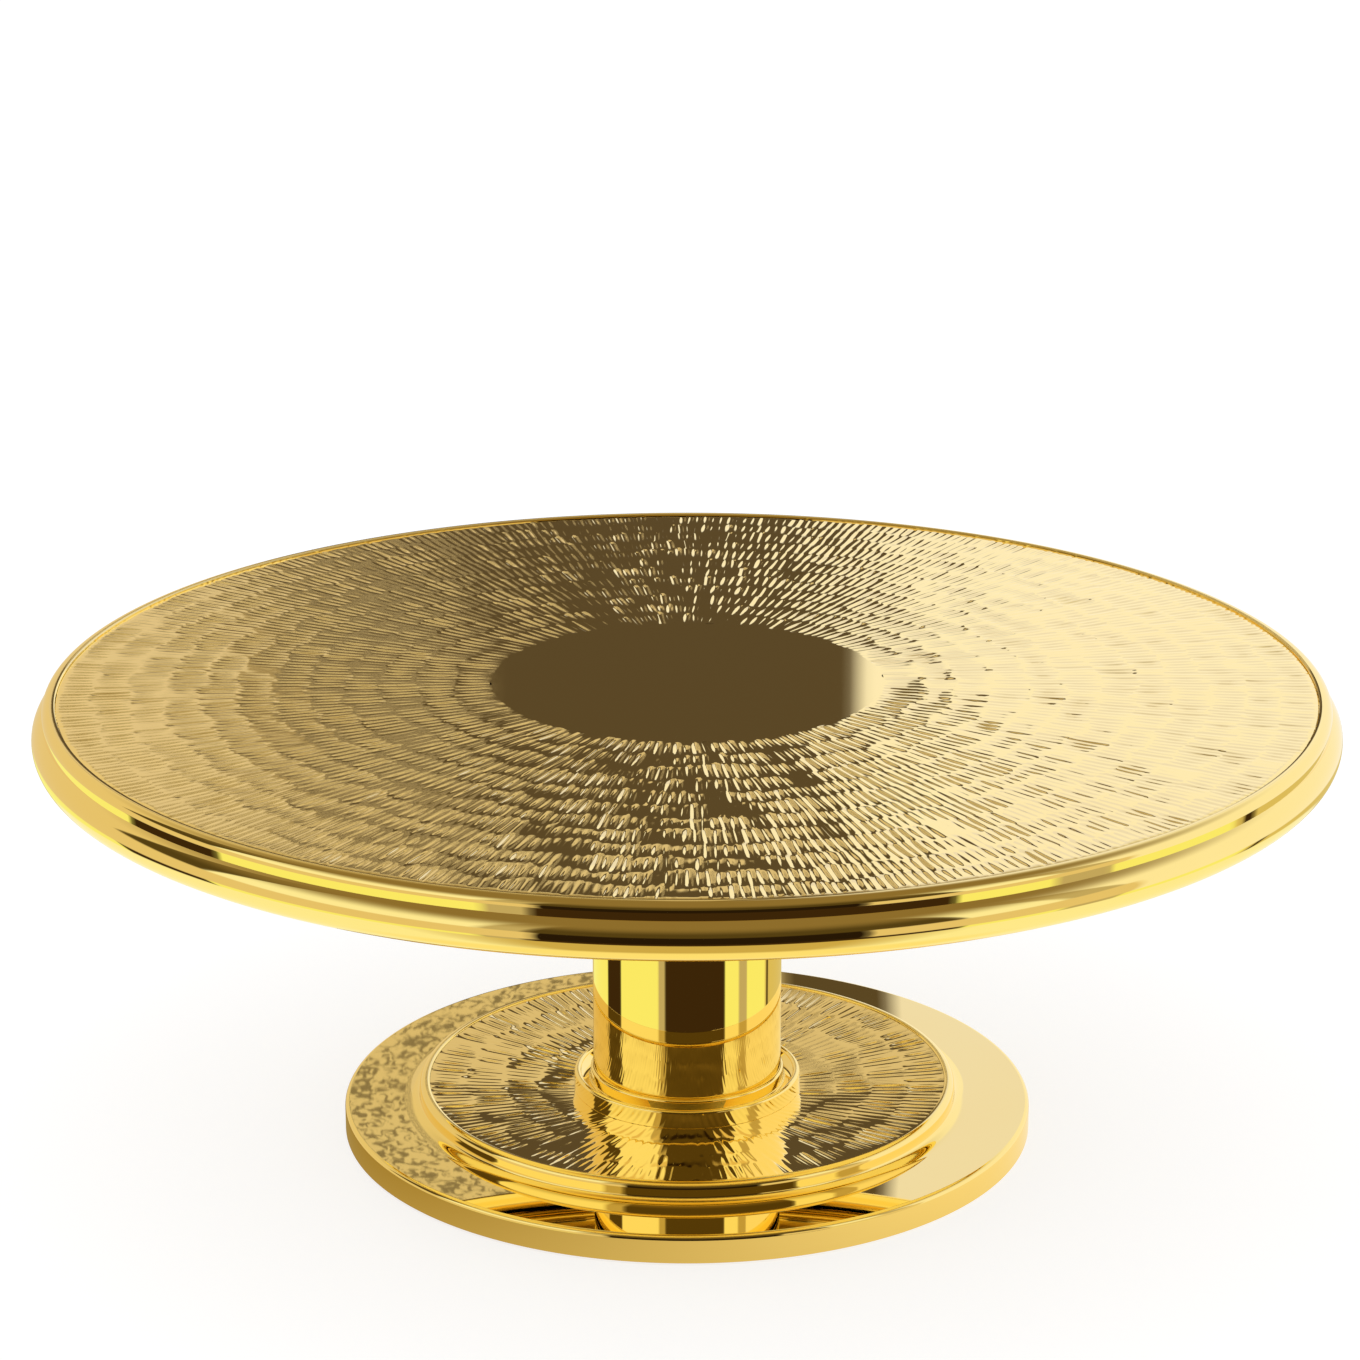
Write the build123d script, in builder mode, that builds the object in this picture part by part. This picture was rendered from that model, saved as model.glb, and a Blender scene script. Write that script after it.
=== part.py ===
"""A round metal cake stand: a chased plate in a rolled rim, on a plain column and a stepped foot.

Every piece is a solid of revolution about +Z, or stands on a circle about it. The origin is the
middle of the underside, on the surface that the stand rests on. Sizes are in millimetres.
"""
from build123d import *
import os

# Driving dimensions: overall
overall_height = 110.0
plate_radius = 150.0
foot_radius = 81.2
column_radius = 22.25

# Plate and the rim band that grips it
plate_thickness = 1.5
lip_radius = 2.1
lip_above_plate = 0.4
rim_bead_radius = 4.8
rim_bead_drop = 5.8
rim_fascia_inset = 2.5
rim_wall = 1.0
rim_web = 1.8
rim_curl_mouth = 4.0
plate_edge_play = 0.05
plate_rebate_width = 1.6
plate_rebate_depth = 0.7

# Flange and hub welded under the plate
flange_radius = 45.0
flange_thickness = 2.0
flange_edge = 0.6
hub_radius = 12.0
hub_play = 0.05
hub_below_flange = 14.0
hub_thread_depth = 13.0

# Column
column_wall = 1.5
plug_thickness = 5.0
plug_play = 0.1
plug_edge = 0.4

# Collar round the foot of the column
collar_projection = 4.5
collar_height = 4.4
collar_crest_width = 1.6
collar_neck_height = 5.4
collar_neck_wall = 0.6
collar_groove_height = 3.0
collar_play = 0.05

# Foot: a polished lower step, a bead and cove, and a chased disc that is dished to the middle
foot_sheet = 1.2
foot_step_height = 7.1
foot_edge_radius = 1.1
foot_ground_gap = 0.6
foot_bead_radius = 1.6
foot_bead_inset = 19.3
foot_bead_height = 11.6
foot_bead_ledge = 1.2
foot_cove_width = 3.7
foot_cove_height = 1.4
foot_disc_below_bead = 0.4
foot_disc_dish = 2.4
foot_disc_play = 0.05

# Ballast and rubber feet
weight_thickness = 6.0
weight_radius = 56.0
weight_bore_radius = 17.0
weight_edge = 0.8
pad_radius = 5.0
pad_count = 6
pad_wall_gap = 2.2
pad_edge = 0.4

# M8 tie rod with its washers and thin nut
rod_radius = 4.0
rod_end_chamfer = 0.8
rod_hole_radius = 4.3
thread_play = 0.05
rod_past_nut = 0.3
washer_radius = 12.0
washer_thickness = 1.6
lock_washer_radius = 7.5
lock_washer_thickness = 0.8
lock_washer_teeth = 10
lock_tooth_depth = 1.4
nut_across_flats = 13.0
nut_thickness = 4.0
nut_edge = 0.5

# Levels and radii that follow from the sizes above
plate_top = overall_height - lip_above_plate
plate_bottom = plate_top - plate_thickness
lip_centre_z = overall_height - lip_radius
rim_bead_centre_r = plate_radius - rim_bead_radius
rim_bead_centre_z = lip_centre_z - rim_bead_drop
rim_fascia_r = plate_radius - rim_fascia_inset
lip_centre_r = rim_fascia_r - lip_radius
plate_edge_r = lip_centre_r + 0.3 * lip_radius
plate_face_r = plate_edge_r - plate_edge_play - plate_rebate_width
plate_edge_thickness = plate_thickness - plate_rebate_depth
flange_bottom = plate_bottom - flange_thickness
foot_bead_r = foot_radius - foot_bead_inset
foot_bead_z = foot_bead_height - foot_bead_radius
foot_disc_top = foot_bead_height - foot_disc_below_bead
foot_disc_edge_r = foot_bead_r - 0.5 * foot_bead_radius
seat_top = foot_disc_top - foot_disc_dish
seat_bottom = seat_top - foot_sheet
foot_bottom = foot_ground_gap
foot_step_under = foot_step_height - foot_sheet
column_bore = column_radius - column_wall
collar_radius = column_radius + collar_projection
washer_bottom = seat_bottom - washer_thickness
lock_washer_bottom = washer_bottom - lock_washer_thickness
nut_bottom = lock_washer_bottom - nut_thickness
hub_bottom = flange_bottom - hub_below_flange
pad_circle_r = foot_radius - foot_sheet - pad_wall_gap - pad_radius

os.makedirs("parts", exist_ok=True)


def disc_z(radius):
    """Height of the dished foot disc's top face at a radius outside the collar."""
    return seat_top + foot_disc_dish * (radius - collar_radius) / (foot_disc_edge_r - collar_radius)


def save(piece, name):
    """Label a finished piece and write it as its own STEP file."""
    piece.part.label = name
    export_step(piece.part, f"parts/{name}.step")


# Chased plate: a flat disc whose rebated edge sits in the channel of the rim band
with BuildPart() as top_plate:
    with BuildSketch(Plane.XY.offset(plate_bottom)):
        Circle(plate_edge_r - plate_edge_play)
    extrude(amount=plate_edge_thickness)
    with BuildSketch(Plane.XY.offset(plate_bottom)):
        Circle(plate_face_r)
    extrude(amount=plate_thickness)
save(top_plate, "top_plate")


# Rim band: a rounded lip over the plate's rebate, an upright fascia, and a hollow bead curled inwards
with BuildPart() as rim_band:
    rim_channel = 2 * lip_radius + rim_web
    with BuildSketch(Plane.XZ):
        with Locations((rim_bead_centre_r, rim_bead_centre_z)):
            Circle(rim_bead_radius)
        with Locations((lip_centre_r, lip_centre_z)):
            Circle(lip_radius)
        with Locations((rim_fascia_r, rim_bead_centre_z)):
            Rectangle(rim_web, rim_bead_drop, align=(Align.MAX, Align.MIN))
        with Locations((rim_bead_centre_r, rim_bead_centre_z)):
            Circle(rim_bead_radius - rim_wall, mode=Mode.SUBTRACT)
            Rectangle(rim_bead_radius, rim_curl_mouth, align=(Align.MAX, Align.CENTER), mode=Mode.SUBTRACT)
        with Locations((plate_edge_r, plate_bottom)):
            Rectangle(rim_channel, plate_edge_thickness, align=(Align.MAX, Align.MIN), mode=Mode.SUBTRACT)
        with Locations((plate_face_r + plate_edge_play, plate_bottom)):
            Rectangle(rim_channel, 2 * lip_radius, align=(Align.MAX, Align.MIN), mode=Mode.SUBTRACT)
    revolve(axis=Axis.Z)
save(rim_band, "rim_band")


# Flange: the disc under the plate that spreads the column's load, brazed round the hub
with BuildPart() as plate_flange:
    with BuildSketch(Plane.XY.offset(flange_bottom)):
        Circle(flange_radius)
        Circle(hub_radius + hub_play, mode=Mode.SUBTRACT)
    extrude(amount=flange_thickness)
    chamfer(plate_flange.edges().group_by(Axis.Z)[0].sort_by(SortBy.RADIUS)[-1], length=flange_edge)
save(plate_flange, "plate_flange")


# Hub: the threaded boss on the plate's underside that the tie rod screws into, blind at the top
with BuildPart() as plate_hub:
    with BuildSketch(Plane.XY.offset(hub_bottom)):
        Circle(hub_radius)
    extrude(amount=plate_bottom - hub_bottom)
    with BuildSketch(Plane.XY.offset(hub_bottom)):
        Circle(rod_radius + thread_play)
    extrude(amount=hub_thread_depth, mode=Mode.SUBTRACT)
    chamfer(plate_hub.edges().group_by(Axis.Z)[0].sort_by(SortBy.RADIUS)[-1], length=flange_edge)
save(plate_hub, "plate_hub")


# Column: a plain polished tube from the foot's seat to the flange
with BuildPart() as stem_tube:
    with BuildSketch(Plane.XY.offset(seat_top)):
        Circle(column_radius)
        Circle(column_bore, mode=Mode.SUBTRACT)
    extrude(amount=flange_bottom - seat_top)
save(stem_tube, "stem_tube")


# Top ring: centres the tube on the hub
with BuildPart() as stem_top_ring:
    with BuildSketch(Plane.XY.offset(flange_bottom - plug_thickness)):
        Circle(column_bore - plug_play)
        Circle(hub_radius + plug_play, mode=Mode.SUBTRACT)
    extrude(amount=plug_thickness)
    chamfer(stem_top_ring.edges().group_by(Axis.Z)[0], length=plug_edge)
save(stem_top_ring, "stem_top_ring")


# Bottom plug: centres the tube on the tie rod
with BuildPart() as stem_bottom_plug:
    with BuildSketch(Plane.XY.offset(seat_top)):
        Circle(column_bore - plug_play)
        Circle(rod_hole_radius, mode=Mode.SUBTRACT)
    extrude(amount=plug_thickness)
    chamfer(stem_bottom_plug.edges().group_by(Axis.Z)[-1], length=plug_edge)
save(stem_bottom_plug, "stem_bottom_plug")


# Collar: a turned ring with a neck against the column, a groove, and a rounded outer crest
with BuildPart() as collar_ring:
    bore_r = column_radius + collar_play
    neck_r = bore_r + collar_neck_wall
    crest_in_r = collar_radius - collar_crest_width
    with BuildSketch(Plane.XZ):
        with BuildLine():
            Polyline((neck_r, seat_top + collar_neck_height - collar_neck_wall),
                     (neck_r, seat_top + collar_groove_height),
                     (crest_in_r, seat_top + collar_height - 0.5 * collar_crest_width))
            ThreePointArc((crest_in_r, seat_top + collar_height - 0.5 * collar_crest_width),
                          (collar_radius - 0.5 * collar_crest_width, seat_top + collar_height),
                          (collar_radius, seat_top + collar_height - 0.5 * collar_crest_width))
            Polyline((collar_radius, seat_top + collar_height - 0.5 * collar_crest_width),
                     (collar_radius, seat_top), (bore_r, seat_top), (bore_r, seat_top + collar_neck_height))
            RadiusArc((bore_r, seat_top + collar_neck_height),
                      (neck_r, seat_top + collar_neck_height - collar_neck_wall), collar_neck_wall)
        make_face()
    revolve(axis=Axis.Z)
save(collar_ring, "collar_ring")


# Chased foot disc: flat where the column stands, then rising to the bead that holds its edge
with BuildPart() as base_disc:
    disc_rim_r = foot_disc_edge_r - foot_disc_play
    with BuildSketch(Plane.XZ):
        with BuildLine():
            Polyline((rod_hole_radius, seat_top), (collar_radius, seat_top), (disc_rim_r, disc_z(disc_rim_r)),
                     (disc_rim_r, disc_z(disc_rim_r) - foot_sheet), (collar_radius, seat_bottom),
                     (rod_hole_radius, seat_bottom), close=True)
        make_face()
    revolve(axis=Axis.Z)
save(base_disc, "base_disc")


# Foot shell: upright wall, polished step, cove and bead, with a ledge that carries the disc
with BuildPart() as base_shell:
    ledge_r = foot_disc_edge_r - foot_bead_ledge
    ledge_top = foot_disc_top - foot_sheet
    ledge_tip_z = disc_z(ledge_r) - foot_sheet
    cove_r = foot_bead_r + foot_bead_radius + foot_cove_width
    with BuildSketch(Plane.XZ):
        with BuildLine():
            Line((ledge_r, ledge_tip_z), (foot_disc_edge_r, ledge_top))
            Line((foot_disc_edge_r, ledge_top), (foot_disc_edge_r, foot_disc_top))
            ThreePointArc((foot_disc_edge_r, foot_disc_top), (foot_bead_r, foot_bead_height),
                          (foot_bead_r + foot_bead_radius, foot_bead_z))
            Line((foot_bead_r + foot_bead_radius, foot_bead_z),
                 (foot_bead_r + foot_bead_radius, foot_step_height + foot_cove_height))
            EllipticalCenterArc((cove_r, foot_step_height + foot_cove_height), foot_cove_width,
                                foot_cove_height, start_angle=180, arc_size=90)
            Line((cove_r, foot_step_height), (foot_radius - foot_edge_radius, foot_step_height))
            RadiusArc((foot_radius - foot_edge_radius, foot_step_height),
                      (foot_radius, foot_step_height - foot_edge_radius), foot_edge_radius)
            Polyline((foot_radius, foot_step_height - foot_edge_radius), (foot_radius, foot_bottom),
                     (foot_radius - foot_sheet, foot_bottom), (foot_radius - foot_sheet, foot_step_under),
                     (foot_bead_r + foot_bead_radius - foot_sheet, foot_step_under),
                     (foot_bead_r + foot_bead_radius - foot_sheet, ledge_tip_z - foot_sheet),
                     (ledge_r, ledge_tip_z - foot_sheet), (ledge_r, ledge_tip_z))
        make_face()
    revolve(axis=Axis.Z)
save(base_shell, "base_shell")


# Ballast: an iron ring glued under the foot disc, open in the middle for the nut
with BuildPart() as base_weight:
    with BuildSketch(Plane.XY.offset(seat_bottom - weight_thickness)):
        Circle(weight_radius)
        Circle(weight_bore_radius, mode=Mode.SUBTRACT)
    extrude(amount=weight_thickness)
    chamfer(base_weight.edges().group_by(Axis.Z)[0], length=weight_edge)
save(base_weight, "base_weight")


# Tie rod: from the hub's blind hole to just past the nut
with BuildPart() as tie_rod:
    rod_bottom = nut_bottom - rod_past_nut
    rod_top = hub_bottom + hub_thread_depth - rod_end_chamfer
    with BuildSketch(Plane.XY.offset(rod_bottom)):
        Circle(rod_radius)
    extrude(amount=rod_top - rod_bottom)
    chamfer(tie_rod.edges(), length=rod_end_chamfer)
save(tie_rod, "tie_rod")


# Flat washer under the foot disc
with BuildPart() as base_washer:
    with BuildSketch(Plane.XY.offset(washer_bottom)):
        Circle(washer_radius)
        Circle(rod_hole_radius, mode=Mode.SUBTRACT)
    extrude(amount=washer_thickness)
save(base_washer, "base_washer")


# Toothed lock washer
with BuildPart() as lock_washer:
    with BuildSketch(Plane.XY.offset(lock_washer_bottom)):
        Circle(lock_washer_radius)
        Circle(rod_hole_radius, mode=Mode.SUBTRACT)
        with PolarLocations(lock_washer_radius, lock_washer_teeth):
            Rectangle(2 * lock_tooth_depth, lock_tooth_depth, mode=Mode.SUBTRACT)
    extrude(amount=lock_washer_thickness)
save(lock_washer, "lock_washer")


# Thin hexagon nut: a chamfered blank cut to six flats
with BuildPart() as tie_nut:
    with BuildSketch(Plane.XY.offset(nut_bottom)):
        Circle(nut_across_flats / 3 ** 0.5)
    extrude(amount=nut_thickness)
    chamfer(tie_nut.edges(), length=nut_edge)
    with BuildSketch(Plane.XY.offset(nut_bottom)):
        RegularPolygon(nut_across_flats / 2, 6, major_radius=False)
        Circle(rod_radius + thread_play, mode=Mode.SUBTRACT)
    extrude(amount=nut_thickness, mode=Mode.INTERSECT)
save(tie_nut, "tie_nut")


# Rubber feet in the hollow of the lower step, standing just below the wall
with BuildPart() as foot_pads:
    with BuildSketch(Plane.XY):
        with PolarLocations(pad_circle_r, pad_count, start_angle=180 / pad_count):
            Circle(pad_radius)
    extrude(amount=foot_step_under)
    chamfer(foot_pads.edges().group_by(Axis.Z)[0], length=pad_edge)
save(foot_pads, "foot_pads")
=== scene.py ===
"""A gold cake stand: a chased plate in a rolled rim, a plain column, a turned collar, a stepped foot.

The sections follow the stand as it is put together, from the plate down to the rubber feet.
Lengths are in metres: +Z up, the origin in the middle of the underside, the camera on the -Y side.
"""
import math
import random

import bmesh
import bpy
import numpy as np
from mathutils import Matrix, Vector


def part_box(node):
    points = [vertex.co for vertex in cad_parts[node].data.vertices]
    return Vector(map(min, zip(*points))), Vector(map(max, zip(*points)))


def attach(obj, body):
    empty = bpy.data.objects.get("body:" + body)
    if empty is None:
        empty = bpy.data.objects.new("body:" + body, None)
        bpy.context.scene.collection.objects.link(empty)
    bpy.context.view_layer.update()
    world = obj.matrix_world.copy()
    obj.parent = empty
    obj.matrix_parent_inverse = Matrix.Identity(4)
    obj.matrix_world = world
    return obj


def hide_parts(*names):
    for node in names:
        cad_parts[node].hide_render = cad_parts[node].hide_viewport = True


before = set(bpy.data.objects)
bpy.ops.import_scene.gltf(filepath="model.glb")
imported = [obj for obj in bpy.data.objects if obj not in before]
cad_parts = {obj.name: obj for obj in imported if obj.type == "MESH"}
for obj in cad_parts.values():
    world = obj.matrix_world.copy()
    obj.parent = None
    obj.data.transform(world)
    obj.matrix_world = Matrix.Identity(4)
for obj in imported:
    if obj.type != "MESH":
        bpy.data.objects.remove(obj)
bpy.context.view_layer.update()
bpy.ops.object.select_all(action="DESELECT")
mm = 0.001


# ---------------------------------------------------------------------------------------------
# Chased plate. A flat brass disc, gold plated, with a polished middle. Round it the chaser has
# punched ring after ring of short radial strokes by hand, so the rings wander, the strokes differ
# in depth and lean, and the sheet is faintly cockled. Its rebated edge sits under the rim's lip.
# ---------------------------------------------------------------------------------------------
def socket(group, name, kind, direction, value=None):
    """Add one named input or output to a shader node group."""
    made = group.interface.new_socket(name=name, in_out=direction, socket_type=kind)
    if value is not None:
        made.default_value = value


def gold_plating_group():
    """Colour, roughness and height of plated gold: tone drift, handling haze and wipe marks."""
    group = bpy.data.node_groups.new("gold_plating", "ShaderNodeTree")
    socket(group, "Bright Tone", "NodeSocketColor", "INPUT", (1.0, 0.78, 0.3, 1))
    socket(group, "Deep Tone", "NodeSocketColor", "INPUT", (1.0, 0.7, 0.22, 1))
    socket(group, "Drift Scale", "NodeSocketFloat", "INPUT", 20.0)
    socket(group, "Polish", "NodeSocketFloat", "INPUT", 0.04)
    socket(group, "Haze", "NodeSocketFloat", "INPUT", 0.06)
    socket(group, "Wipe Scale", "NodeSocketFloat", "INPUT", 900.0)
    socket(group, "Color", "NodeSocketColor", "OUTPUT")
    socket(group, "Roughness", "NodeSocketFloat", "OUTPUT")
    socket(group, "Height", "NodeSocketFloat", "OUTPUT")
    nodes, links = group.nodes, group.links
    given = nodes.new("NodeGroupInput")
    result = nodes.new("NodeGroupOutput")
    place = nodes.new("ShaderNodeTexCoord")

    drift = nodes.new("ShaderNodeTexNoise")
    drift.inputs["Detail"].default_value = 3.0
    links.new(place.outputs["Object"], drift.inputs["Vector"])
    links.new(given.outputs["Drift Scale"], drift.inputs["Scale"])
    tone = nodes.new("ShaderNodeMix")
    tone.data_type = "RGBA"
    links.new(drift.outputs["Fac"], tone.inputs["Factor"])
    links.new(given.outputs["Bright Tone"], tone.inputs["A"])
    links.new(given.outputs["Deep Tone"], tone.inputs["B"])
    links.new(tone.outputs["Result"], result.inputs["Color"])

    stretch = nodes.new("ShaderNodeMapping")
    stretch.inputs["Rotation"].default_value = (0.3, 0.5, 0.7)
    stretch.inputs["Scale"].default_value = (0.12, 1.0, 0.4)
    links.new(place.outputs["Object"], stretch.inputs["Vector"])
    wipe = nodes.new("ShaderNodeTexNoise")
    wipe.inputs["Detail"].default_value = 4.0
    wipe.inputs["Roughness"].default_value = 0.7
    links.new(stretch.outputs["Vector"], wipe.inputs["Vector"])
    links.new(given.outputs["Wipe Scale"], wipe.inputs["Scale"])
    links.new(wipe.outputs["Fac"], result.inputs["Height"])

    patch = nodes.new("ShaderNodeMath")
    patch.operation = "MULTIPLY"
    links.new(drift.outputs["Fac"], patch.inputs[0])
    links.new(wipe.outputs["Fac"], patch.inputs[1])
    haze = nodes.new("ShaderNodeMath")
    haze.operation = "MULTIPLY_ADD"
    links.new(patch.outputs[0], haze.inputs[0])
    links.new(given.outputs["Haze"], haze.inputs[1])
    links.new(given.outputs["Polish"], haze.inputs[2])
    links.new(haze.outputs[0], result.inputs["Roughness"])
    return group


gold_plating = gold_plating_group()


def gold_finish(name, bright, deep, polish, haze, wipe_depth):
    """A plated gold finish with its own tones, polish and wear."""
    material = bpy.data.materials.new(name)
    material.use_nodes = True
    nodes, links = material.node_tree.nodes, material.node_tree.links
    shader = nodes["Principled BSDF"]
    shader.inputs["Metallic"].default_value = 1.0
    plating = nodes.new("ShaderNodeGroup")
    plating.node_tree = gold_plating
    plating.inputs["Bright Tone"].default_value = bright
    plating.inputs["Deep Tone"].default_value = deep
    plating.inputs["Polish"].default_value = polish
    plating.inputs["Haze"].default_value = haze
    bump = nodes.new("ShaderNodeBump")
    bump.inputs["Strength"].default_value = 0.2
    bump.inputs["Distance"].default_value = wipe_depth
    links.new(plating.outputs["Color"], shader.inputs["Base Color"])
    links.new(plating.outputs["Roughness"], shader.inputs["Roughness"])
    links.new(plating.outputs["Height"], bump.inputs["Height"])
    links.new(bump.outputs["Normal"], shader.inputs["Normal"])
    return material


chased_gold = gold_finish("chased_gold", (1.0, 0.84, 0.38, 1), (1.0, 0.8, 0.33, 1), 0.012, 0.03, 0.001 * mm)


def show_as(piece, name, material, node):
    """Name a finished piece, give it its finish, and let it stand in for its CAD node."""
    piece.name = name
    piece.data.materials.clear()
    piece.data.materials.append(material)
    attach(piece, "root")
    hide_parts(node)
    bpy.ops.object.select_all(action="DESELECT")


def cockle(x, y, seed):
    """Smooth wandering between -1 and 1 over the sheet, as hand work leaves it."""
    chance = random.Random(seed)
    total = 0 * x
    for _ in range(9):
        heading = chance.uniform(0, math.pi)
        wave = chance.uniform(9, 30) * mm
        total = total + np.sin((x * math.cos(heading) + y * math.sin(heading)) * 2 * math.pi / wave
                               + chance.uniform(0, 6.28))
    return total / 4.5


def held_at(x, y, inner, outer, reach):
    """0 at both edges of a round sheet, rising to 1 at this reach inside them."""
    radius = np.hypot(x, y)
    return np.clip((radius - inner) / reach, 0, 1) * np.clip((outer - radius) / reach, 0, 1)


def chased_ring(inner, outer, pitch, depth, level, seed, ragged=0.0):
    """One ring of radial strokes: a strip chased flat, then bent round on itself.

    level: gives the height of the uncut face at a place. ragged: how far the inner ends stray.
    A stroke is four columns wide, with its trough on one of them.
    """
    chance = random.Random(seed)
    strokes = round(math.pi * (inner + outer) / pitch)
    columns, rows = 4 * strokes, 5
    bpy.ops.mesh.primitive_grid_add(x_subdivisions=columns, y_subdivisions=rows, size=2)
    ring = bpy.context.object
    co = np.empty(len(ring.data.vertices) * 3)
    ring.data.vertices.foreach_get("co", co)
    co = co.reshape(-1, 3)
    column = np.rint((co[:, 0] + 1) / 2 * columns).astype(int)
    row = np.rint((co[:, 1] + 1) / 2 * rows).astype(int)
    stroke = (column // 4) % strokes

    def each(low, high):
        """A chance value for each stroke, spread over its vertices."""
        return np.array([chance.uniform(low, high) for _ in range(strokes)])[stroke]

    along = np.array([0.0, 0.18, 0.39, 0.61, 0.82, 1.0])[row]
    carry = each(-0.25, 0.75).clip(0, 1)
    swell = carry + (1 - carry) * np.array([0.0, 0.45, 1.0, 1.0, 0.45, 0.0])[row]
    trough = np.array([0.0, 0.45, 1.0, 0.45])[column % 4]
    lean = each(-0.5, 0.5)
    inside = np.sin(math.pi * along)
    stray = each(-1, 1) * (inside * 0.11 + ragged * (row == 0) + 0.7 * ragged * (row == 1))
    angle = -2 * math.pi * (column + (trough > 0) * lean * (along - 0.5) * 2) / columns
    radius = inner + (outer - inner) * (along + stray)
    x, y = radius * np.cos(angle), radius * np.sin(angle)
    weight = (0.75 + 0.5 * cockle(x, y, 7)) * each(0.35, 1.4)
    co[:, 0], co[:, 1] = x, y
    co[:, 2] = level(x, y) - depth * weight.clip(0.1, 1.7) * trough * swell
    ring.data.vertices.foreach_set("co", co.ravel())
    bpy.ops.object.mode_set(mode="EDIT")
    bpy.ops.mesh.select_all(action="SELECT")
    bpy.ops.mesh.remove_doubles(threshold=0.005 * mm)
    bpy.ops.object.mode_set(mode="OBJECT")
    bpy.ops.object.select_all(action="DESELECT")
    return ring


def open_edges(piece, low, high):
    """In edit mode, select the open edges of a round sheet that lie between two radii."""
    mesh = bmesh.from_edit_mesh(piece.data)
    for edge in mesh.edges:
        edge.select = edge.is_boundary and all(low < math.hypot(*v.co.xy) < high for v in edge.verts)
    mesh.select_flush_mode()
    bmesh.update_edit_mesh(piece.data)


def level_to(piece, height, radius=None):
    """In edit mode, bring the selected loop to one height, and to one radius if it is given."""
    mesh = bmesh.from_edit_mesh(piece.data)
    for vert in mesh.verts:
        if vert.select:
            vert.co.z = height
            if radius:
                vert.co.xy = vert.co.xy.normalized() * radius
    bmesh.update_edit_mesh(piece.data)


def chased_sheet(inner, outer, ring_count, pitch, depth, level, seed, ragged=0.0, wander=1.1 * mm):
    """Chase all the rings of a sheet, join each to the next and let them wander. Left in edit mode."""
    gap = 0.6 * mm
    step = (outer - inner) / ring_count
    rings = []
    for index in range(ring_count):
        start = inner + index * step
        rings.append(chased_ring(start + gap / 2, start + step - gap / 2, pitch, depth, level, seed + index,
                                 0 if index else ragged))
    for ring in rings:
        ring.select_set(True)
    bpy.context.view_layer.objects.active = rings[0]
    bpy.ops.object.join()
    sheet = bpy.context.object
    bpy.ops.object.mode_set(mode="EDIT")
    bpy.ops.mesh.select_mode(type="EDGE")
    for index in range(1, ring_count):
        joint = inner + index * step
        open_edges(sheet, joint - 0.6 * gap, joint + 0.6 * gap)
        bpy.ops.mesh.bridge_edge_loops()
    mesh = bmesh.from_edit_mesh(sheet.data)
    place = np.array([vert.co[:] for vert in mesh.verts])
    x, y = place[:, 0], place[:, 1]
    shift = wander * held_at(x, y, inner, outer, 6 * mm) * cockle(x, y, seed + 50)
    place[:, :2] *= (1 + shift / np.hypot(x, y))[:, None]
    for vert, moved in zip(mesh.verts, place):
        vert.co = moved
    bmesh.update_edit_mesh(sheet.data)
    return sheet


plate_low, plate_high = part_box("top_plate")
plate_under, plate_top, plate_edge = plate_low.z, plate_high.z, plate_high.x
rebate_z = plate_top - 0.7 * mm
plate_face = plate_edge - 1.6 * mm
mirror_radius = 46 * mm
cockle_height = 0.02 * mm


def plate_level(x, y):
    """The face is flat at its edge and middle, and very slightly cockled between them."""
    held = held_at(x, y, mirror_radius, plate_face, 8 * mm)
    return plate_top + cockle_height * held * (cockle(x, y, 3) - 1.2)


plate = chased_sheet(mirror_radius, plate_face, 12, 2.1 * mm, 0.2 * mm, plate_level, 100, ragged=0.16)

# The polished middle, then the rebate, the edge and the flat underside
open_edges(plate, 0, mirror_radius + 5 * mm)
for radius in (mirror_radius - 0.5 * mm, mirror_radius - mm, mirror_radius / 3):
    bpy.ops.mesh.extrude_edges_move()
    level_to(plate, plate_top, radius)
bpy.ops.mesh.extrude_edges_move()
bpy.ops.mesh.merge(type="CENTER")
open_edges(plate, plate_face - mm, plate_edge)
bpy.ops.mesh.extrude_edges_move()
level_to(plate, plate_top - 0.25 * mm, plate_face)
for radius, height in ((plate_face, rebate_z), (plate_edge, rebate_z), (plate_edge, plate_under),
                       (mirror_radius, plate_under)):
    bpy.ops.mesh.extrude_edges_move()
    level_to(plate, height, radius)
bpy.ops.mesh.extrude_edges_move()
bpy.ops.mesh.merge(type="CENTER")
bpy.ops.mesh.select_all(action="SELECT")
bpy.ops.mesh.normals_make_consistent(inside=False)
bpy.ops.object.mode_set(mode="OBJECT")
bpy.ops.object.shade_smooth_by_angle(angle=math.radians(50))
show_as(plate, "chased_plate", chased_gold, "top_plate")

# The underside was plated too, but never polished
satin_gold = gold_finish("satin_gold", (1.0, 0.82, 0.38, 1), (0.95, 0.74, 0.3, 1), 0.26, 0.2, 0.02 * mm)
plate.data.materials.append(satin_gold)
for face in plate.data.polygons:
    face.material_index = int(face.normal.z < -0.9)


# ---------------------------------------------------------------------------------------------
# Rim band. Spun from brass strip: a rounded lip closes over the plate's rebate, an upright
# fascia drops to a fat bead, and the bead curls in under the plate. Polished, then gold plated.
# ---------------------------------------------------------------------------------------------
def arc(centre, radius, start, end, steps):
    """Points of (radius, height) on an arc. Its angles are in degrees from straight up, outwards."""
    angles = [math.radians(start + (end - start) * index / steps) for index in range(steps + 1)]
    return [(centre[0] + radius * math.sin(a), centre[1] + radius * math.cos(a)) for a in angles]


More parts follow.
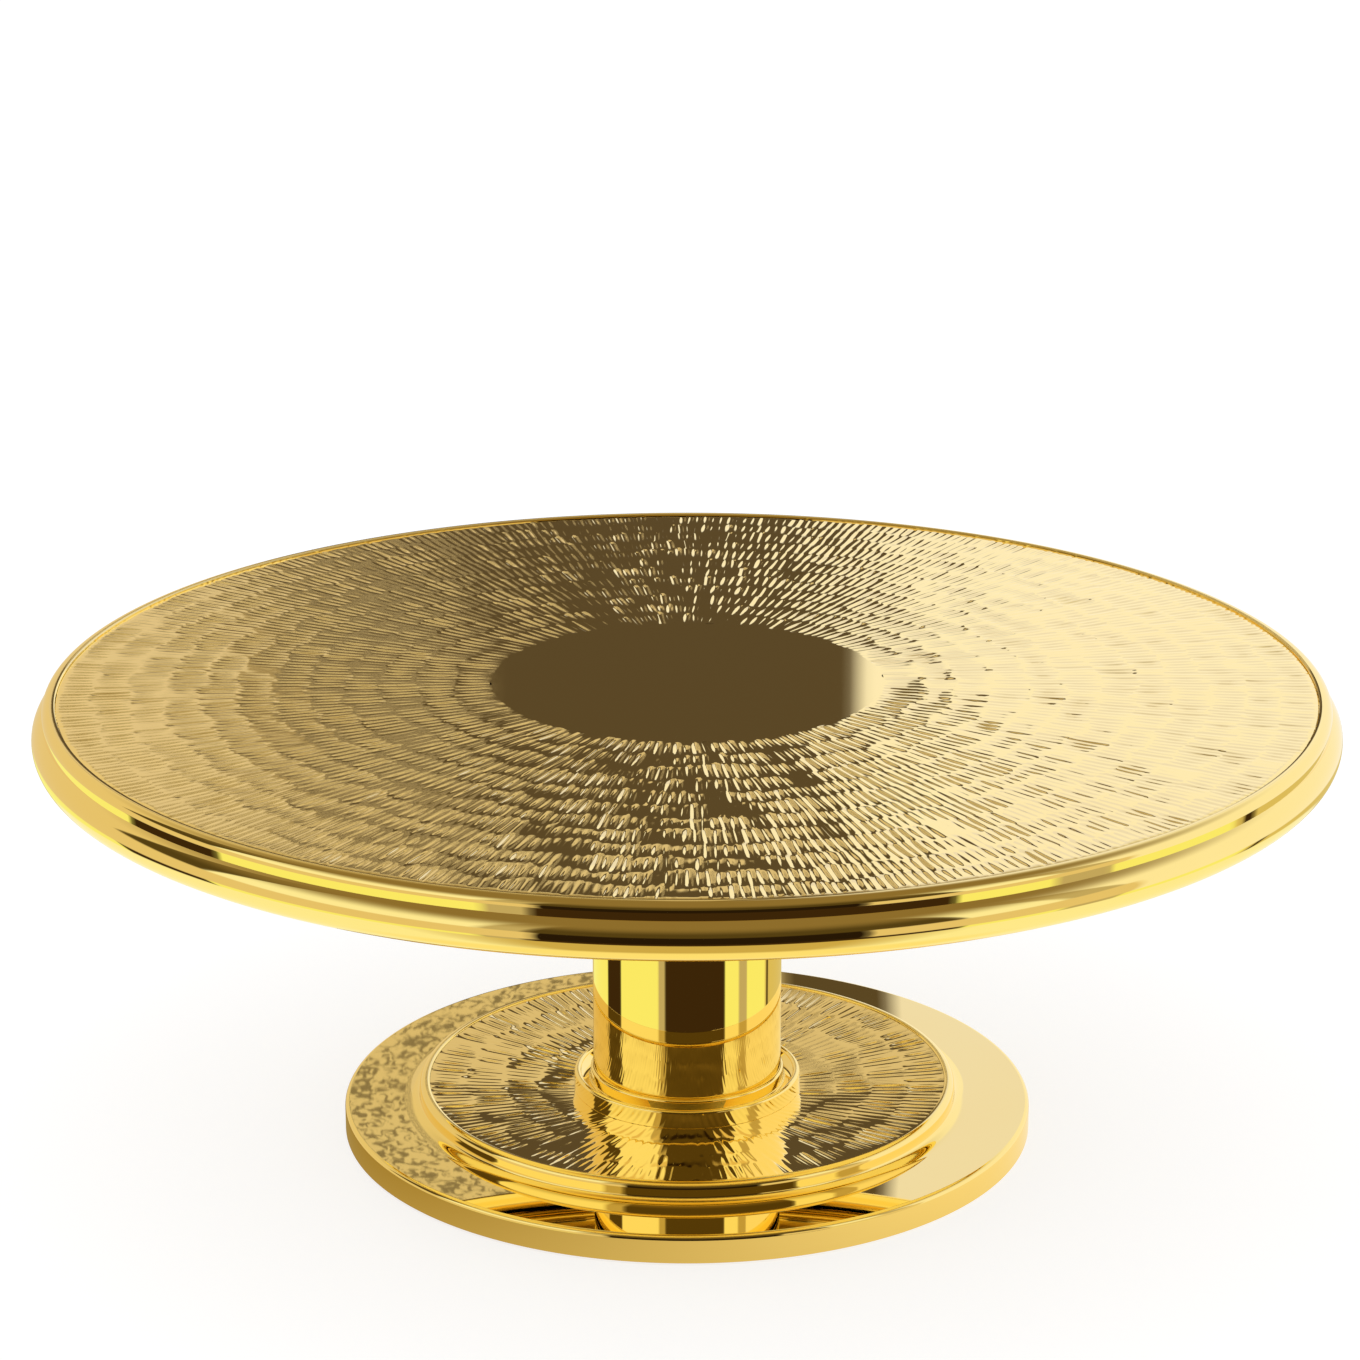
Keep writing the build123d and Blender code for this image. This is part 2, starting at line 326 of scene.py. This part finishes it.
def turned(outline, corner=0.1 * mm):
    """Spin a closed outline of (radius, height) points round the axis, with its sharp corners eased."""
    bpy.ops.mesh.primitive_plane_add(size=mm)
    piece = bpy.context.object
    bpy.ops.object.mode_set(mode="EDIT")
    bpy.ops.mesh.select_mode(type="VERT")
    bpy.ops.mesh.select_all(action="SELECT")
    bpy.ops.mesh.merge(type="CENTER")
    bpy.ops.transform.translate(value=(outline[0][0], 0, outline[0][1]))
    for (r0, z0), (r1, z1) in zip(outline, outline[1:] + outline[:1]):
        bpy.ops.mesh.extrude_vertices_move(TRANSFORM_OT_translate={"value": (r1 - r0, 0, z1 - z0)})
    bpy.ops.mesh.select_all(action="SELECT")
    bpy.ops.mesh.remove_doubles(threshold=0.001 * mm)
    bpy.ops.mesh.spin(steps=256, angle=2 * math.pi, center=(0, 0, 0), axis=(0, 0, 1))
    bpy.ops.mesh.select_all(action="SELECT")
    bpy.ops.mesh.remove_doubles(threshold=0.001 * mm)
    bpy.ops.mesh.normals_make_consistent(inside=False)
    bpy.ops.object.mode_set(mode="OBJECT")
    ease = piece.modifiers.new("ease", "BEVEL")
    ease.width = corner
    ease.segments = 2
    ease.limit_method = "ANGLE"
    ease.angle_limit = math.radians(35)
    bpy.ops.object.modifier_apply(modifier="ease")
    bpy.ops.object.shade_smooth()
    flats = piece.modifiers.new("flats", "WEIGHTED_NORMAL")
    flats.weight = 100
    bpy.ops.object.modifier_apply(modifier="flats")
    return piece


polished_gold = gold_finish("polished_gold", (1.0, 0.83, 0.33, 1), (1.0, 0.79, 0.28, 1), 0.006, 0.02,
                            0.0003 * mm)

rim_low, rim_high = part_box("rim_band")
bead_radius, lip_radius, strip = 4.8 * mm, 2.1 * mm, 1.0 * mm
bead = (rim_high.x - bead_radius, rim_low.z + bead_radius)
fascia = rim_high.x - 2.5 * mm
lip = (fascia - lip_radius, rim_high.z - lip_radius)
lip_inside = plate_face + 0.05 * mm
channel = plate_edge + 0.05 * mm
hollow = bead_radius - strip
mouth = 2 * mm
turned_in = math.degrees(math.acos(-mouth / bead_radius))
hollow_in = math.degrees(math.acos(-mouth / hollow))
lip_start = math.degrees(math.asin((lip_inside - lip[0]) / lip_radius))
shelf = -math.degrees(math.acos((plate_under - lip[1]) / lip_radius))
bead_inside, lip_underside = -18.2, -126
rim = turned(
    [(lip_inside, rebate_z)]
    + arc(lip, lip_radius, lip_start, 90, 18)
    + arc(bead, bead_radius, math.degrees(math.asin((fascia - bead[0]) / bead_radius)), 360 - turned_in, 40)
    + arc(bead, hollow, 360 - hollow_in, hollow_in - 180, 34)
    + arc(bead, bead_radius, turned_in - 180, bead_inside, 8)
    + arc(lip, lip_radius, lip_underside, shelf, 6)
    + [(channel, plate_under), (channel, rebate_z)], corner=0.06 * mm)
show_as(rim, "rolled_rim", polished_gold, "rim_band")


# ---------------------------------------------------------------------------------------------
# Column. A length of drawn brass tube, cut square, polished and gold plated. The tie rod inside
# it clamps it between the plate's flange and the foot.
# ---------------------------------------------------------------------------------------------
column_low, column_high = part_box("stem_tube")
column_radius, tube_wall = column_high.x, 1.5 * mm
column = turned([(column_radius, column_low.z), (column_radius, column_high.z),
                 (column_radius - tube_wall, column_high.z), (column_radius - tube_wall, column_low.z)])
show_as(column, "column_tube", polished_gold, "stem_tube")


# ---------------------------------------------------------------------------------------------
# Collar. A turned brass ring that slips over the column's foot: a thin neck, a groove, a slope
# and a rounded crest. Polished and gold plated.
# ---------------------------------------------------------------------------------------------
collar_low, collar_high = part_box("collar_ring")
seat, collar_radius = collar_low.z, collar_high.x
bore = column_radius + 0.05 * mm
neck = bore + 0.6 * mm
crest_half = 0.8 * mm
crest_z = seat + 4.4 * mm - crest_half
collar = turned(
    [(bore, seat), (bore, collar_high.z)]
    + arc((bore, collar_high.z - 0.6 * mm), 0.6 * mm, 10, 90, 6)
    + arc((neck + 0.5 * mm, seat + 3.0 * mm), 0.5 * mm, -90, -150, 5)
    + arc((collar_radius - crest_half, crest_z), crest_half, -75, 90, 14)
    + [(collar_radius, seat)], corner=0.08 * mm)
show_as(collar, "turned_collar", polished_gold, "collar_ring")


# ---------------------------------------------------------------------------------------------
# Chased foot disc. Brass sheet dished to the middle, its edge dropped behind the foot's bead.
# It is chased like the plate, with slightly closer and shallower strokes, from the collar out.
# ---------------------------------------------------------------------------------------------
_, disc_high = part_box("base_disc")
disc_edge = disc_high.x
sheet = 1.2 * mm
dish = disc_high.z - seat


def disc_level(x, y):
    """The disc rises in a straight slope from the collar to its edge."""
    radius = np.hypot(x, y)
    return seat + dish * np.clip((radius - collar_radius) / (disc_edge - collar_radius), 0, 1)


chased_from = collar_radius - 0.4 * mm
disc = chased_sheet(chased_from, disc_edge - 0.1 * mm, 4, 2.0 * mm, 0.16 * mm, disc_level, 300)

# The seat under the collar and the rod hole, then the edge and the underside, joined at the hole
rod_hole = 4.3 * mm
open_edges(disc, 0, chased_from + mm)
for radius in (chased_from - 0.4 * mm, rod_hole):
    bpy.ops.mesh.extrude_edges_move()
    level_to(disc, seat, radius)
open_edges(disc, disc_edge - mm, disc_edge + mm)
for radius, height in ((disc_edge, disc_high.z), (disc_edge, disc_high.z - sheet),
                       (collar_radius, seat - sheet), (rod_hole, seat - sheet)):
    bpy.ops.mesh.extrude_edges_move()
    level_to(disc, height, radius)
open_edges(disc, 0, rod_hole + 0.1 * mm)
bpy.ops.mesh.bridge_edge_loops()
bpy.ops.mesh.select_all(action="SELECT")
bpy.ops.mesh.remove_doubles(threshold=0.001 * mm)
bpy.ops.mesh.normals_make_consistent(inside=False)
bpy.ops.object.mode_set(mode="OBJECT")
bpy.ops.object.shade_smooth_by_angle(angle=math.radians(50))
show_as(disc, "chased_foot_disc", chased_gold, "base_disc")


# ---------------------------------------------------------------------------------------------
# Foot shell. Spun brass: an upright wall, a broad polished step, a small cove and a bead round
# the chased disc, with a ledge inside that carries the disc's edge. Polished and gold plated.
# ---------------------------------------------------------------------------------------------
foot_low, foot_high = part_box("base_shell")
foot_radius, ground = foot_high.x, foot_low.z
step_z = 7.1 * mm
shoulder = 1.1 * mm
ring_radius = 1.6 * mm
ring = (foot_radius - 19.3 * mm, foot_high.z - ring_radius)
ring_face = ring[0] + ring_radius
ledge = ring[0] - 0.5 * ring_radius
ledge_tip = ledge - 1.2 * mm
ledge_z = float(disc_level(ledge_tip, 0)) - sheet
cove_width, cove_height = 3.7 * mm, 1.4 * mm
cove_steps = 14
cove = []
for index in range(cove_steps + 1):
    a = math.radians(180 + 90 * index / cove_steps)
    cove.append((ring_face + cove_width * (1 + math.cos(a)), step_z + cove_height * (1 + math.sin(a))))
shell = turned(
    [(ledge_tip, ledge_z), (ledge, disc_high.z - sheet)]
    + arc(ring, ring_radius, -30, 90, 14)
    + cove
    + arc((foot_radius - shoulder, step_z - shoulder), shoulder, 0, 90, 8)
    + [(foot_radius, ground), (foot_radius - sheet, ground), (foot_radius - sheet, step_z - sheet),
       (ring_face - sheet, step_z - sheet), (ring_face - sheet, ledge_z - sheet),
       (ledge_tip, ledge_z - sheet)])
show_as(shell, "foot_shell", polished_gold, "base_shell")


# ---------------------------------------------------------------------------------------------
# Hardware inside and underneath. Zinc-plated steel for the flange, hub, rod, washers and nut,
# nylon for the two rings that centre the tube, a painted iron casting for the ballast, and six
# rubber feet pushed up inside the foot's wall. They keep their CAD shape.
# ---------------------------------------------------------------------------------------------
def surface_grain_group():
    """Colour, roughness and height of a plain workshop surface: blotches over a fine grain."""
    group = bpy.data.node_groups.new("surface_grain", "ShaderNodeTree")
    socket(group, "Light", "NodeSocketColor", "INPUT", (0.6, 0.6, 0.6, 1))
    socket(group, "Dark", "NodeSocketColor", "INPUT", (0.4, 0.4, 0.4, 1))
    socket(group, "Grain Scale", "NodeSocketFloat", "INPUT", 400.0)
    socket(group, "Blotch Scale", "NodeSocketFloat", "INPUT", 60.0)
    socket(group, "Smoothest", "NodeSocketFloat", "INPUT", 0.3)
    socket(group, "Roughest", "NodeSocketFloat", "INPUT", 0.5)
    socket(group, "Color", "NodeSocketColor", "OUTPUT")
    socket(group, "Roughness", "NodeSocketFloat", "OUTPUT")
    socket(group, "Height", "NodeSocketFloat", "OUTPUT")
    nodes, links = group.nodes, group.links
    given = nodes.new("NodeGroupInput")
    result = nodes.new("NodeGroupOutput")
    place = nodes.new("ShaderNodeTexCoord")
    grain = nodes.new("ShaderNodeTexVoronoi")
    links.new(place.outputs["Object"], grain.inputs["Vector"])
    links.new(given.outputs["Grain Scale"], grain.inputs["Scale"])
    blotch = nodes.new("ShaderNodeTexNoise")
    blotch.inputs["Detail"].default_value = 5.0
    links.new(place.outputs["Object"], blotch.inputs["Vector"])
    links.new(given.outputs["Blotch Scale"], blotch.inputs["Scale"])
    both = nodes.new("ShaderNodeMath")
    both.operation = "MULTIPLY_ADD"
    both.inputs[1].default_value = 0.4
    links.new(grain.outputs["Distance"], both.inputs[0])
    links.new(blotch.outputs["Fac"], both.inputs[2])
    links.new(both.outputs[0], result.inputs["Height"])
    tone = nodes.new("ShaderNodeMix")
    tone.data_type = "RGBA"
    links.new(both.outputs[0], tone.inputs["Factor"])
    links.new(given.outputs["Light"], tone.inputs["A"])
    links.new(given.outputs["Dark"], tone.inputs["B"])
    links.new(tone.outputs["Result"], result.inputs["Color"])
    rough = nodes.new("ShaderNodeMapRange")
    links.new(both.outputs[0], rough.inputs["Value"])
    links.new(given.outputs["Smoothest"], rough.inputs["To Min"])
    links.new(given.outputs["Roughest"], rough.inputs["To Max"])
    links.new(rough.outputs["Result"], result.inputs["Roughness"])
    return group


surface_grain = surface_grain_group()


def workshop_finish(name, light, dark, scales, roughness, relief, metallic=0.0):
    """A plain finish for hidden hardware, with its own grain size, roughness and relief."""
    material = bpy.data.materials.new(name)
    material.use_nodes = True
    nodes, links = material.node_tree.nodes, material.node_tree.links
    shader = nodes["Principled BSDF"]
    shader.inputs["Metallic"].default_value = metallic
    surface = nodes.new("ShaderNodeGroup")
    surface.node_tree = surface_grain
    surface.inputs["Light"].default_value = light
    surface.inputs["Dark"].default_value = dark
    surface.inputs["Grain Scale"].default_value, surface.inputs["Blotch Scale"].default_value = scales
    surface.inputs["Smoothest"].default_value, surface.inputs["Roughest"].default_value = roughness
    bump = nodes.new("ShaderNodeBump")
    bump.inputs["Strength"].default_value = 0.5
    bump.inputs["Distance"].default_value = relief
    links.new(surface.outputs["Color"], shader.inputs["Base Color"])
    links.new(surface.outputs["Roughness"], shader.inputs["Roughness"])
    links.new(surface.outputs["Height"], bump.inputs["Height"])
    links.new(bump.outputs["Normal"], shader.inputs["Normal"])
    return material


zinc_steel = workshop_finish("zinc_steel", (0.62, 0.64, 0.66, 1), (0.42, 0.45, 0.5, 1), (1500, 90),
                             (0.2, 0.42), 0.01 * mm, metallic=1.0)
cast_ballast = workshop_finish("cast_ballast", (0.045, 0.045, 0.05, 1), (0.02, 0.02, 0.022, 1), (500, 130),
                               (0.45, 0.75), 0.25 * mm)
black_plastic = workshop_finish("black_plastic", (0.05, 0.05, 0.055, 1), (0.03, 0.03, 0.034, 1),
                                (2500, 200), (0.4, 0.6), 0.02 * mm)
foot_rubber = workshop_finish("foot_rubber", (0.07, 0.07, 0.075, 1), (0.04, 0.04, 0.044, 1), (3000, 250),
                              (0.7, 0.9), 0.03 * mm)
for name, finish in (("plate_flange", zinc_steel), ("plate_hub", zinc_steel), ("tie_rod", zinc_steel),
                     ("base_washer", zinc_steel), ("lock_washer", zinc_steel), ("tie_nut", zinc_steel),
                     ("stem_top_ring", black_plastic), ("stem_bottom_plug", black_plastic),
                     ("base_weight", cast_ballast), ("foot_pads", foot_rubber)):
    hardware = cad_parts[name].data
    hardware.materials.clear()
    hardware.materials.append(finish)


# ---------------------------------------------------------------------------------------------
# Studio. The stand is on a lit white acrylic table under a soft white sky, and that sky is all
# the camera and the diffuse light see. What its polished metal mirrors is a room painted into the
# sky for glossy rays alone, as painted reflections: pale cards to the sides, a crumpled foil
# reflector behind on the left, a dark wall behind, and the dark side where the camera stands.
# ---------------------------------------------------------------------------------------------
shaded_reach = 90 * mm


def stage_light(name, front, left, right):
    """A lit surface that shades from one tone at its left to another at its right, clear from below."""
    material = bpy.data.materials.new(name)
    material.use_nodes = True
    nodes, links = material.node_tree.nodes, material.node_tree.links
    shader = nodes["Principled BSDF"]
    shader.inputs["Base Color"].default_value = front
    shader.inputs["Specular IOR Level"].default_value = 0.0
    shader.inputs["Emission Strength"].default_value = 1.0
    place = nodes.new("ShaderNodeTexCoord")
    axes = nodes.new("ShaderNodeSeparateXYZ")
    across = nodes.new("ShaderNodeMapRange")
    across.inputs["From Min"].default_value = -shaded_reach
    across.inputs["From Max"].default_value = shaded_reach
    tone = nodes.new("ShaderNodeMix")
    tone.data_type = "RGBA"
    tone.inputs["A"].default_value = left
    tone.inputs["B"].default_value = right
    links.new(place.outputs["Object"], axes.inputs[0])
    links.new(axes.outputs["X"], across.inputs["Value"])
    links.new(across.outputs["Result"], tone.inputs["Factor"])
    links.new(tone.outputs["Result"], shader.inputs["Emission Color"])
    side = nodes.new("ShaderNodeNewGeometry")
    clear = nodes.new("ShaderNodeBsdfTransparent")
    either = nodes.new("ShaderNodeMixShader")
    links.new(side.outputs["Backfacing"], either.inputs["Fac"])
    links.new(shader.outputs["BSDF"], either.inputs[1])
    links.new(clear.outputs["BSDF"], either.inputs[2])
    links.new(either.outputs["Shader"], nodes["Material Output"].inputs["Surface"])
    return material


bpy.ops.mesh.primitive_plane_add(size=12, location=(0, 0, 0))
table = bpy.context.object
table.name = "acrylic_table"
table.visible_glossy = False
table.data.materials.append(stage_light("lit_acrylic", (0.34, 0.34, 0.34, 1), (0.73, 0.735, 0.75, 1),
                                        (0.73, 0.735, 0.75, 1)))

# A glowing disc of paper under the foot, which only its own wall mirrors: a painted reflection, painted
# dark on its left and bright on its right as light and shade
bpy.ops.mesh.primitive_circle_add(vertices=64, radius=foot_radius + 16.5 * mm, fill_type="NGON",
                                  location=(0, 0, -0.4 * mm))
paper = bpy.context.object
paper.name = "glowing_reflection_disc"
paper.visible_camera = paper.visible_diffuse = paper.visible_shadow = False
paper.data.materials.append(stage_light("painted_glow_paper", (0, 0, 0, 1), (0.36, 0.24, 0.06, 1),
                                        (1.0, 0.86, 0.6, 1)))


def fan(nodes, links, bearing, tones, reach=180, soft=0.8):
    """Tones round the room. Each starts at so many degrees clockwise from straight behind the stand.

    A tone is a colour, or one number for a mask. reach: how far the fan opens to each side. A narrow
    fan holds finer edges than a full one.
    """
    place = nodes.new("ShaderNodeMapRange")
    place.inputs["From Min"].default_value = math.radians(-reach)
    place.inputs["From Max"].default_value = math.radians(reach)
    links.new(bearing, place.inputs["Value"])
    ramp = nodes.new("ShaderNodeValToRGB")
    links.new(place.outputs["Result"], ramp.inputs["Fac"])
    stops = [tones[0]]
    for (_, before), (start, tone) in zip(tones, tones[1:]):
        stops += [(start - soft, before), (start + soft, tone)]
    elements = ramp.color_ramp.elements
    elements.remove(elements[0])
    for index, (degrees, tone) in enumerate(stops):
        element = elements[0] if index == 0 else elements.new((degrees + reach) / (2 * reach))
        element.position = (degrees + reach) / (2 * reach)
        element.color = (*tone, 1) if isinstance(tone, tuple) else (tone, tone, tone, 1)
    return ramp.outputs["Color"]


def climb(nodes, links, source, low, high):
    """A soft step in height, between two elevations given in degrees."""
    step = nodes.new("ShaderNodeMapRange")
    step.interpolation_type = "SMOOTHSTEP"
    step.inputs["From Min"].default_value = math.sin(math.radians(low))
    step.inputs["From Max"].default_value = math.sin(math.radians(high))
    links.new(source, step.inputs["Value"])
    return step.outputs["Result"]


def blend(nodes, links, amount, first, second):
    """Mix two tones, each a socket or a plain colour."""
    mix = nodes.new("ShaderNodeMix")
    mix.data_type = "RGBA"
    links.new(amount, mix.inputs["Factor"])
    for name, tone in (("A", first), ("B", second)):
        if isinstance(tone, tuple):
            mix.inputs[name].default_value = (*tone, 1)
        else:
            links.new(tone, mix.inputs[name])
    return mix.outputs["Result"]


wall_dark = (0.104, 0.075, 0.043)
camera_dark = (0.02, 0.011, 0.005)
strip_dark = (0.045, 0.023, 0.008)
shade = (0.09, 0.062, 0.02)
white_card = (1.0, 0.97, 0.95)
glare = (1.0, 1.0, 0.9)
warm_card = (0.8, 0.66, 0.43)
dusk = (0.36, 0.27, 0.14)
lemon = (0.97, 1.0, 0.4)
buff = (0.55, 0.47, 0.33)
straw = (0.72, 0.6, 0.26)
amber = (0.62, 0.48, 0.19)
bright_foil = (0.72, 0.6, 0.42)
lit_brass = (0.27, 0.19, 0.08)

studio = bpy.data.worlds.new("studio")
studio.use_nodes = True
nodes, links = studio.node_tree.nodes, studio.node_tree.links
background = nodes["Background"]
direction = nodes.new("ShaderNodeTexCoord")
split = nodes.new("ShaderNodeSeparateXYZ")
links.new(direction.outputs["Generated"], split.inputs[0])
bearing = nodes.new("ShaderNodeMath")
bearing.operation = "ARCTAN2"
links.new(split.outputs["X"], bearing.inputs[0])
links.new(split.outputs["Y"], bearing.inputs[1])
around = bearing.outputs[0]

# The painted reflections right round the room, by height: the cards at the stand's own level, those above
# and those below
level_cards = fan(nodes, links, around, [
    (-180, camera_dark), (-155, warm_card), (-7.5, wall_dark), (2.6, white_card), (100, warm_card),
    (150, camera_dark)])
above = fan(nodes, links, around, [
    (-180, shade), (-153, buff), (-145, glare), (-92, shade), (-67, warm_card), (2.6, white_card),
    (102, buff), (114, glare), (133, shade)])
# Painted stripes just below the horizon, bright and dark by bearing, which the column mirrors as its
# vertical bands.
painted_stripes = fan(nodes, links, around, [
    (-180, strip_dark), (-153, buff), (-145, lemon), (-92, strip_dark), (-67, lemon), (-20, straw),
    (63, strip_dark), (67, straw), (70, lemon), (102, buff), (114, lemon), (133, strip_dark)])
# Painted reflection of the floor: glossy rays looking down see pale yellow, and amber on the camera side,
# though the table is white.
painted_floor_reflection = fan(nodes, links, around, [(-180, amber), (-140, (1.0, 1.0, 0.8)), (140, amber)], soft=12)

# Straight behind, where the plate and the foot mirror the wall and the cards in detail
is_behind = fan(nodes, links, around, [(-180, 0), (-14, 1), (14, 0)], soft=2)
wall_cards = fan(nodes, links, around, [
    (-16, (0.78, 0.66, 0.5)), (-6.4, dusk), (-5.8, wall_dark), (2.5, white_card)], reach=16, soft=0.15)
low_cards = fan(nodes, links, around, [
    (-16, bright_foil), (1.4, wall_dark), (3.1, (0.88, 0.86, 1.0))], reach=16, soft=0.15)
foil_place = fan(nodes, links, around, [(-16, 0.08), (-7.5, 0.3), (-6, 0.5), (-3.1, 0)], reach=16, soft=0.4)
low_foil_place = fan(nodes, links, around, [(-16, 0.7), (-1.0, 0)], reach=16, soft=0.4)

# The painted foil's creases give painted reflections of light and dark in small broken patches
crumple = nodes.new("ShaderNodeTexNoise")
crumple.inputs["Scale"].default_value = 340.0
crumple.inputs["Detail"].default_value = 1.0
crumple.inputs["Distortion"].default_value = 1.2
flatten = nodes.new("ShaderNodeMapping")
flatten.inputs["Scale"].default_value = (1, 1, 2)
links.new(direction.outputs["Generated"], flatten.inputs["Vector"])
links.new(flatten.outputs["Vector"], crumple.inputs["Vector"])
creases = nodes.new("ShaderNodeMapRange")
creases.interpolation_type = "SMOOTHSTEP"
creases.inputs["From Min"].default_value = 0.38
creases.inputs["From Max"].default_value = 0.56
links.new(crumple.outputs["Fac"], creases.inputs["Value"])
painted_foil = blend(nodes, links, creases.outputs["Result"], (0.05, 0.035, 0.02), bright_foil)
wall = blend(nodes, links, is_behind, above, blend(nodes, links, foil_place, wall_cards, painted_foil))
low_wall = blend(nodes, links, is_behind, above, blend(nodes, links, low_foil_place, low_cards, painted_foil))

# The bands are laid one over another by height. Each takes over between two elevations in degrees.
height = split.outputs["Z"]
room = blend(nodes, links, climb(nodes, links, height, 11, 16), level_cards, wall)
room = blend(nodes, links, climb(nodes, links, height, 20.2, 21.2), room, low_wall)
# Overhead, glossy rays see a dim brass tone: a painted reflection.
room = blend(nodes, links, climb(nodes, links, height, 26, 62), room, lit_brass)
room = blend(nodes, links, climb(nodes, links, height, -18, -15), painted_stripes, room)
room = blend(nodes, links, climb(nodes, links, height, -25.5, -22.8), painted_floor_reflection, room)
# Straight down, glossy rays see a pale gold painted reflection of the floor.
room = blend(nodes, links, climb(nodes, links, height, -72, -58), (1.0, 0.9, 0.5), room)
# Glossy rays alone see the painted room of reflections; the camera and diffuse light see plain white.
sees = nodes.new("ShaderNodeLightPath")
seen = blend(nodes, links, sees.outputs["Is Glossy Ray"], (1.0, 1.0, 1.0), room)
links.new(seen, background.inputs["Color"])
bpy.context.scene.world = studio
bpy.context.scene.view_settings.view_transform = "Standard"

# The camera looks a little down on the plate, from the front
camera_distance, camera_height, looks_down = 0.9062, 0.39565, 17.52
lens = bpy.data.cameras.new("lens")
lens.lens = 109.0
lens.shift_x = -0.0052
camera = bpy.data.objects.new("camera", lens)
camera.location = (0, -camera_distance, camera_height)
camera.rotation_euler = (math.radians(90 - looks_down), 0, 0)
bpy.context.scene.collection.objects.link(camera)
bpy.context.scene.camera = camera
